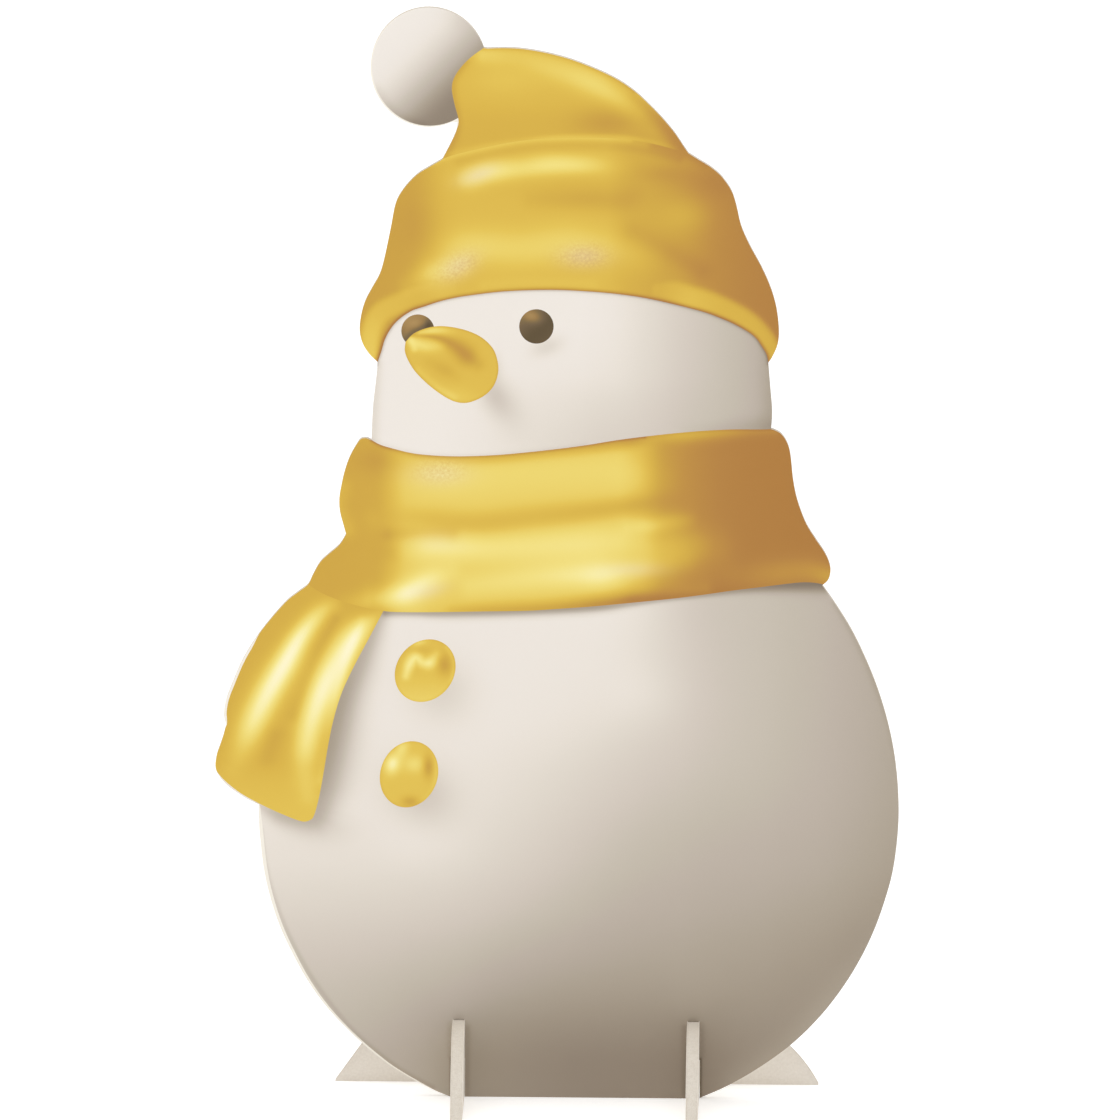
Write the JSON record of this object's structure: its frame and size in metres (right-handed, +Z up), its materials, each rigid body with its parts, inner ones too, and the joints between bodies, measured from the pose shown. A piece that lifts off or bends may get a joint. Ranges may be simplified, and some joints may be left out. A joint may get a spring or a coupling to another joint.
{
  "type": "snowman yard standee",
  "caption": "Free-standing printed foam-board snowman cut-out with slotted crosswise feet and a rear cross brace.",
  "frame": {"origin": "middle of the footprint on the floor, in the middle of the panel's thickness", "axes": "+Z up, +X to the viewer's right, -Y towards the viewer, so the printed face looks along -Y"},
  "size_m": [0.561, 0.3, 0.8997],
  "materials": {
    "printed_sheet": "satin",
    "card_facing": "matte",
    "foam_core": "matte"
  },
  "bodies": {
    "panel": {"print_film": "printed_sheet", "panel_front_liner": "card_facing", "panel_core": "foam_core", "panel_back_liner": "card_facing"},
    "foot_left": {"foot_left_core": "foam_core", "foot_left_outer_liner": "card_facing", "foot_left_inner_liner": "card_facing"},
    "foot_right": {"foot_right_core": "foam_core", "foot_right_outer_liner": "card_facing", "foot_right_inner_liner": "card_facing"},
    "brace": {"brace_core": "foam_core", "brace_front_liner": "card_facing", "brace_back_liner": "card_facing"}
  },
  "joints": [
    {"name": "foot_left_pull", "type": "slide", "parent": "panel", "child": "foot_left", "axis": [0, 0, -1], "range_m": [0, 0.07]},
    {"name": "foot_right_pull", "type": "slide", "parent": "panel", "child": "foot_right", "axis": [0, 0, -1], "range_m": [0, 0.07]},
    {"name": "brace_lift", "type": "slide", "parent": "panel", "child": "brace", "axis": [0, 0, 1], "range_m": [0, 0.07]}
  ]
}
